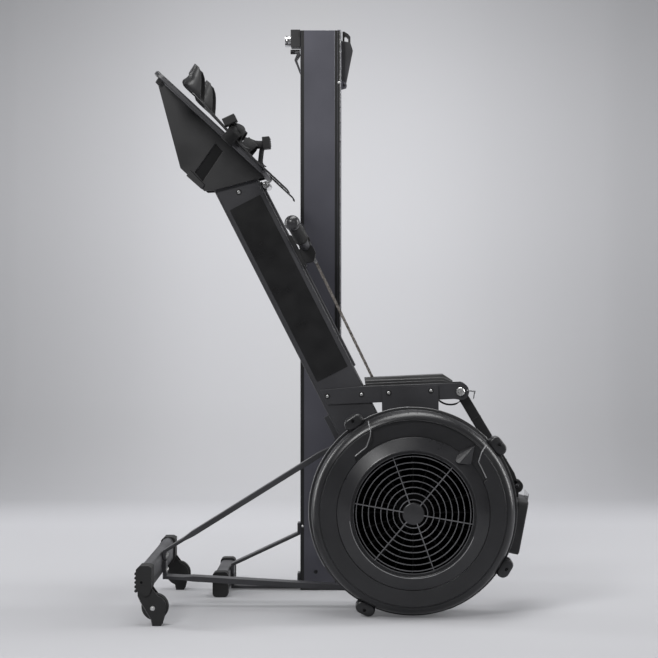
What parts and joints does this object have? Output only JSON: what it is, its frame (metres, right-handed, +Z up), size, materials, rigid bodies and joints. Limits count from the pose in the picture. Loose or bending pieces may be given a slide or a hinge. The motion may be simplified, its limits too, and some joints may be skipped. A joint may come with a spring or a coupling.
{
  "type": "air rowing machine",
  "caption": "Air rowing machine stored upright: slanted frame with a fan housing, damper, chain handle, footrest and folding monitor, and a separate rail with a rolling seat.",
  "frame": {"origin": "on the floor, under the middle of the stored machine's box", "axes": "+Z up, -Y out of the fan's grille, +X towards the monitor side"},
  "size_m": [0.8778, 0.737, 1.382],
  "materials": {
    "black_steel": "satin black powder coat",
    "black_plastic": "fine grain, satin",
    "grey_plastic": "satin",
    "rubber": "matt",
    "bright_steel": "bright",
    "grey_alloy": "dark anodised, satin",
    "webbing": "woven, matt"
  },
  "bodies": {
    "machine": {"fan_cover": "black_plastic", "rear_cover": "black_plastic", "intake_grille": "grey_plastic", "axle": "bright_steel", "hub_bearing": "bright_steel", "cord_roller": "black_plastic", "main_tube": "black_steel", "side_plate_right": "black_steel", "side_plate_left": "black_steel", "axle_plate_right": "black_steel", "axle_plate_left": "black_steel", "chain_shroud": "black_plastic", "arm_pivot_pin": "bright_steel", "foot_tube": "black_steel", "foot_cap_right": "rubber", "foot_cap_left": "rubber", "upper_leg": "black_steel", "lower_leg": "black_steel", "footboard": "black_plastic", "footrest_side_right": "black_plastic", "footrest_side_left": "black_plastic", "strap_right": "webbing", "strap_left": "webbing", "handle_hook": "black_plastic", "drive_chain": "bright_steel", "return_chain": "bright_steel", "shock_cord": "rubber"},
    "damper": {"damper_ring": "grey_plastic"},
    "fan": {"fan_wheel": "black_plastic"},
    "sprocket": {"sprocket": "bright_steel"},
    "return_block": {"return_pulley": "black_plastic"},
    "handle": {"handle_bar": "black_steel", "grip_right": "rubber", "grip_left": "rubber", "chain_swivel": "bright_steel"},
    "caster_right": {"caster_right": "grey_plastic"},
    "caster_left": {"caster_left": "grey_plastic"},
    "flexfoot_right": {"flexfoot_right": "black_plastic"},
    "flexfoot_left": {"flexfoot_left": "black_plastic"},
    "monitor_arm": {"monitor_arm": "black_steel"},
    "monitor": {"monitor_case": "black_plastic"},
    "button_1": {"monitor_button_1": "grey_plastic"},
    "button_2": {"monitor_button_2": "grey_plastic"},
    "button_3": {"monitor_button_3": "grey_plastic"},
    "rail_section": {"rail_beam": "grey_alloy", "rail_end_cap": "black_plastic", "rail_hook_block": "black_plastic", "rear_foot_tube": "black_steel", "rear_cap_right": "rubber", "rear_cap_left": "rubber", "rear_upper_leg": "black_steel", "rear_lower_leg": "black_steel"},
    "seat": {"seat_carriage": "black_steel", "seat_pad": "rubber"},
    "roller_top": {"seat_roller_top": "grey_plastic"},
    "roller_bottom": {"seat_roller_bottom": "grey_plastic"},
    "guide_right": {"seat_guide_right": "grey_plastic"},
    "guide_left": {"seat_guide_left": "grey_plastic"},
    "knob": {"lock_knob": "bright_steel"},
    "latch": {"latch_lever": "black_plastic"}
  },
  "joints": [
    {"name": "damper_turn", "type": "hinge", "parent": "machine", "child": "damper", "pos_m": [0.17158, -0.2735, 0.236], "axis": [0, -1, 0], "range_deg": [0, 62]},
    {"name": "fan_spin", "type": "hinge", "parent": "machine", "child": "fan", "pos_m": [0.17158, -0.2052, 0.236], "axis": [0, 1, 0], "continuous": true},
    {"name": "handle_pull", "type": "slide", "parent": "machine", "child": "handle", "axis": [0.3, 0, 0.9539], "range_m": [0, 1.1], "deforming": ["drive_chain"]},
    {"name": "sprocket_spin", "type": "hinge", "parent": "machine", "child": "sprocket", "pos_m": [0.17158, -0.0765, 0.236], "axis": [0, -1, 0], "continuous": true},
    {"name": "return_slide", "type": "slide", "parent": "machine", "child": "return_block", "axis": [0.454, 0, -0.891], "range_m": [0, 0.55], "deforming": ["return_chain", "shock_cord"]},
    {"name": "caster_right_spin", "type": "hinge", "parent": "machine", "child": "caster_right", "pos_m": [-0.39792, -0.348, 0.0405], "axis": [0, 1, 0], "continuous": true},
    {"name": "caster_left_spin", "type": "hinge", "parent": "machine", "child": "caster_left", "pos_m": [-0.39792, 0.195, 0.0405], "axis": [0, 1, 0], "continuous": true},
    {"name": "flexfoot_right_slide", "type": "slide", "parent": "machine", "child": "flexfoot_right", "axis": [-0.7337, 0, 0.6794], "range_m": [0, 0.05]},
    {"name": "flexfoot_left_slide", "type": "slide", "parent": "machine", "child": "flexfoot_left", "axis": [-0.7337, 0, 0.6794], "range_m": [0, 0.05]},
    {"name": "monitor_arm_fold", "type": "hinge", "parent": "machine", "child": "monitor_arm", "pos_m": [0.28408, -0.0765, 0.502], "axis": [0, -1, 0], "range_deg": [0, 125]},
    {"name": "monitor_tilt", "type": "hinge", "parent": "monitor_arm", "child": "monitor", "pos_m": [0.41619, -0.0765, 0.28039], "axis": [0, -1, 0], "range_deg": [0, 60]},
    {"name": "button_1_press", "type": "slide", "parent": "monitor", "child": "button_1", "axis": [-0.9823, 0, 0.1874], "range_m": [0, 0.0012], "stiffness_N_per_m": 400, "springref_m": -0.0005},
    {"name": "button_2_press", "type": "slide", "parent": "monitor", "child": "button_2", "axis": [-0.9823, 0, 0.1874], "range_m": [0, 0.0012], "stiffness_N_per_m": 400, "springref_m": -0.0005},
    {"name": "button_3_press", "type": "slide", "parent": "monitor", "child": "button_3", "axis": [-0.9823, 0, 0.1874], "range_m": [0, 0.0012], "stiffness_N_per_m": 400, "springref_m": -0.0005},
    {"name": "rail_section_away", "type": "slide", "parent": "machine", "child": "rail_section", "axis": [0, 1, 0], "range_m": [0, 0.3]},
    {"name": "seat_slide", "type": "slide", "parent": "rail_section", "child": "seat", "axis": [0, 0, 1], "range_m": [0, 0.9]},
    {"name": "roller_top_spin", "type": "hinge", "parent": "seat", "child": "roller_top", "pos_m": [0.02018, 0.2035, 0.26], "axis": [0, 1, 0], "continuous": true},
    {"name": "roller_bottom_spin", "type": "hinge", "parent": "seat", "child": "roller_bottom", "pos_m": [0.02018, 0.2035, 0.125], "axis": [0, 1, 0], "continuous": true},
    {"name": "guide_right_spin", "type": "hinge", "parent": "seat", "child": "guide_right", "pos_m": [-0.01392, 0.1765, 0.1925], "axis": [0, 1, 0], "continuous": true},
    {"name": "guide_left_spin", "type": "hinge", "parent": "seat", "child": "guide_left", "pos_m": [-0.01392, 0.2305, 0.1925], "axis": [0, 1, 0], "continuous": true},
    {"name": "lock_knob_pull", "type": "slide", "parent": "rail_section", "child": "knob", "axis": [-1, 0, 0], "range_m": [0, 0.01], "stiffness_N_per_m": 300, "springref_m": -0.002},
    {"name": "latch_swing", "type": "hinge", "parent": "rail_section", "child": "latch", "pos_m": [0.01238, 0.2035, 1.246], "axis": [0, 1, 0], "range_deg": [0, 60]}
  ],
  "couplings": [
    {"joint": "sprocket_spin", "follows": "handle_pull", "rad_per_m": 20.57},
    {"joint": "return_slide", "follows": "handle_pull", "ratio": 0.5},
    {"joint": "roller_top_spin", "follows": "seat_slide", "rad_per_m": -64.516},
    {"joint": "roller_bottom_spin", "follows": "seat_slide", "rad_per_m": -64.516}
  ]
}
